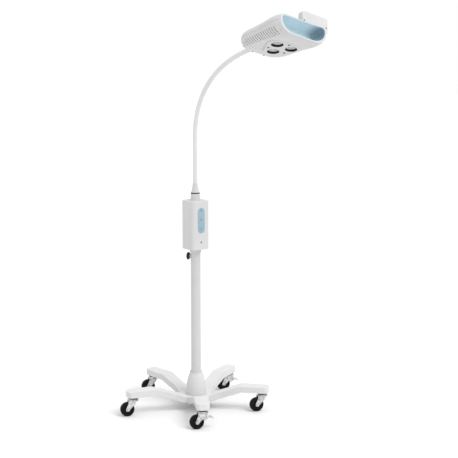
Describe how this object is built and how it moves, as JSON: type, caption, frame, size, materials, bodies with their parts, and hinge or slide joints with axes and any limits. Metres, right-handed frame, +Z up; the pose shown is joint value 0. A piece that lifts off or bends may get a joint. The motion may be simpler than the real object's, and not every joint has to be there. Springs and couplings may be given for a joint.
{
  "type": "mobile examination lamp",
  "caption": "Mobile examination lamp: flat LED head with a hand recess on a gooseneck, touch-free control box, column and five-leg caster stand.",
  "frame": {"origin": "on the column's axis at floor level", "axes": "+Z up along the column, -Y towards the side from which the control panel and the head's lens side are seen, +X to the right of that view"},
  "size_m": [0.8682, 0.8807, 1.7639],
  "materials": {
    "white_casting": "white powder coat",
    "white_tube": "white powder coat",
    "white_plastic": "fine satin",
    "neck_sleeve": "smooth flexible sleeve",
    "black_plastic": "satin",
    "wheel_black": "smooth hard tread",
    "bright_steel": "bright zinc plating",
    "dark_steel": "zinc plated",
    "blue_plastic": "soft gloss",
    "blue_window": "printed film behind a clear window",
    "green_board": "solder mask",
    "lens_clear": "clear moulded lens",
    "aluminium": "as cast"
  },
  "bodies": {
    "base": {"base_casting": "white_casting", "column_tube": "white_tube", "column_bolt": "dark_steel", "column_bush": "black_plastic", "cone_cover": "white_plastic", "caster_stems": "dark_steel", "caster_top_plates": "bright_steel"},
    "caster_1": {"caster_fork_1": "bright_steel", "caster_axle_1": "bright_steel"},
    "wheel_1": {"caster_wheel_1": "wheel_black"},
    "caster_2": {"caster_fork_2": "bright_steel", "caster_axle_2": "bright_steel"},
    "wheel_2": {"caster_wheel_2": "wheel_black"},
    "caster_3": {"caster_fork_3": "bright_steel", "caster_axle_3": "bright_steel"},
    "wheel_3": {"caster_wheel_3": "wheel_black"},
    "caster_4": {"caster_fork_4": "bright_steel", "caster_axle_4": "bright_steel"},
    "wheel_4": {"caster_wheel_4": "wheel_black"},
    "caster_5": {"caster_fork_5": "bright_steel", "caster_axle_5": "bright_steel"},
    "wheel_5": {"caster_wheel_5": "wheel_black"},
    "brake_front": {"brake_pedal_front": "bright_steel"},
    "brake_rear": {"brake_pedal_rear": "bright_steel"},
    "lock_knob": {"knob_screw": "dark_steel", "knob_grip": "black_plastic"},
    "control_unit": {"control_housing": "white_plastic", "control_front_cover": "white_plastic", "control_window": "blue_window", "sensor_eye": "black_plastic", "sensor_board": "green_board", "power_supply": "aluminium", "power_inlet": "black_plastic", "mounting_post": "bright_steel", "neck_collar": "white_plastic", "neck_ring": "black_plastic", "cover_screws": "dark_steel"},
    "neck_base": {"neck_ferrule": "white_plastic", "neck_segment_1": "neck_sleeve"},
    "neck_2": {"neck_segment_2": "neck_sleeve"},
    "neck_3": {"neck_segment_3": "neck_sleeve"},
    "neck_4": {"neck_segment_4": "neck_sleeve"},
    "neck_5": {"neck_segment_5": "neck_sleeve"},
    "neck_6": {"neck_segment_6": "neck_sleeve"},
    "neck_7": {"neck_segment_7": "neck_sleeve"},
    "neck_8": {"neck_segment_8": "neck_sleeve"},
    "neck_9": {"neck_segment_9": "neck_sleeve", "head_ferrule": "white_plastic"},
    "head": {"head_top_shell": "white_plastic", "head_bottom_shell": "white_plastic", "head_bezel": "white_plastic", "head_scoop": "blue_plastic", "head_handle": "white_plastic", "handle_screws": "dark_steel", "lens_plate": "white_plastic", "lens_rings": "black_plastic", "lenses": "lens_clear", "led_board": "green_board", "heat_sink": "aluminium", "head_screws": "dark_steel"}
  },
  "joints": [
    {"name": "caster_swivel_1", "type": "hinge", "parent": "base", "child": "caster_1", "pos_m": [0.02817, -0.3037, 0.07], "axis": [0, 0, 1], "continuous": true},
    {"name": "wheel_spin_1", "type": "hinge", "parent": "caster_1", "child": "wheel_1", "pos_m": [0.00186, -0.30977, 0.03175], "axis": [-0.225, 0.9744, 0], "continuous": true},
    {"name": "caster_swivel_2", "type": "hinge", "parent": "base", "child": "caster_2", "pos_m": [0.29754, -0.06705, 0.07], "axis": [0, 0, 1], "continuous": true},
    {"name": "wheel_spin_2", "type": "hinge", "parent": "caster_2", "child": "wheel_2", "pos_m": [0.27123, -0.07313, 0.03175], "axis": [-0.225, 0.9744, 0], "continuous": true},
    {"name": "caster_swivel_3", "type": "hinge", "parent": "base", "child": "caster_3", "pos_m": [0.15572, 0.26226, 0.07], "axis": [0, 0, 1], "continuous": true},
    {"name": "wheel_spin_3", "type": "hinge", "parent": "caster_3", "child": "wheel_3", "pos_m": [0.12941, 0.25618, 0.03175], "axis": [-0.225, 0.9744, 0], "continuous": true},
    {"name": "caster_swivel_4", "type": "hinge", "parent": "base", "child": "caster_4", "pos_m": [-0.2013, 0.22914, 0.07], "axis": [0, 0, 1], "continuous": true},
    {"name": "wheel_spin_4", "type": "hinge", "parent": "caster_4", "child": "wheel_4", "pos_m": [-0.22761, 0.22306, 0.03175], "axis": [-0.225, 0.9744, 0], "continuous": true},
    {"name": "caster_swivel_5", "type": "hinge", "parent": "base", "child": "caster_5", "pos_m": [-0.28013, -0.12064, 0.07], "axis": [0, 0, 1], "continuous": true},
    {"name": "wheel_spin_5", "type": "hinge", "parent": "caster_5", "child": "wheel_5", "pos_m": [-0.30643, -0.12671, 0.03175], "axis": [-0.225, 0.9744, 0], "continuous": true},
    {"name": "brake_front_press", "type": "hinge", "parent": "caster_1", "child": "brake_front", "pos_m": [0.04279, -0.30032, 0.05], "axis": [-0.225, 0.9744, 0], "range_deg": [0, 12]},
    {"name": "brake_rear_press", "type": "hinge", "parent": "caster_3", "child": "brake_rear", "pos_m": [0.17033, 0.26563, 0.05], "axis": [-0.225, 0.9744, 0], "range_deg": [0, 12]},
    {"name": "lock_knob_turn", "type": "hinge", "parent": "base", "child": "lock_knob", "pos_m": [0, 0, 0.698], "axis": [-0.9659, 0.2588, 0], "range_deg": [0, 360]},
    {"name": "control_unit_turn", "type": "hinge", "parent": "base", "child": "control_unit", "pos_m": [0, 0, 0.733], "axis": [0, 0, 1], "continuous": true},
    {"name": "neck_swivel", "type": "hinge", "parent": "control_unit", "child": "neck_base", "pos_m": [0, 0, 0.9853], "axis": [0, 0, 1], "range_deg": [-170, 170]},
    {"name": "neck_lean_1", "type": "hinge", "parent": "neck_base", "child": "neck_2", "pos_m": [0, 0, 1.1], "axis": [0.6388, -0.7694, 0], "range_deg": [-15, 15]},
    {"name": "neck_lean_2", "type": "hinge", "parent": "neck_2", "child": "neck_3", "pos_m": [0, 0, 1.181], "axis": [0.6388, -0.7694, 0], "range_deg": [-15, 15]},
    {"name": "neck_bend_1", "type": "hinge", "parent": "neck_3", "child": "neck_4", "pos_m": [0, 0, 1.262], "axis": [0.7694, 0.6388, 0], "range_deg": [-10, 10]},
    {"name": "neck_bend_2", "type": "hinge", "parent": "neck_4", "child": "neck_5", "pos_m": [0.00832, -0.01002, 1.33586], "axis": [0.7694, 0.6388, 0], "range_deg": [-14, 14]},
    {"name": "neck_bend_3", "type": "hinge", "parent": "neck_5", "child": "neck_6", "pos_m": [0.0291, -0.03506, 1.40894], "axis": [0.7694, 0.6388, 0], "range_deg": [-14, 14]},
    {"name": "neck_bend_4", "type": "hinge", "parent": "neck_6", "child": "neck_7", "pos_m": [0.0645, -0.07769, 1.47986], "axis": [0.7694, 0.6388, 0], "range_deg": [-14, 14]},
    {"name": "neck_bend_5", "type": "hinge", "parent": "neck_7", "child": "neck_8", "pos_m": [0.11483, -0.13832, 1.54143], "axis": [0.7694, 0.6388, 0], "range_deg": [-12, 12]},
    {"name": "neck_bend_6", "type": "hinge", "parent": "neck_8", "child": "neck_9", "pos_m": [0.18086, -0.21784, 1.59184], "axis": [0.7694, 0.6388, 0], "range_deg": [-10.1, 10.1]},
    {"name": "head_turn", "type": "hinge", "parent": "neck_9", "child": "head", "pos_m": [0.25458, -0.30664, 1.62472], "axis": [0.6143, -0.74, 0.274], "range_deg": [-60, 60]}
  ]
}
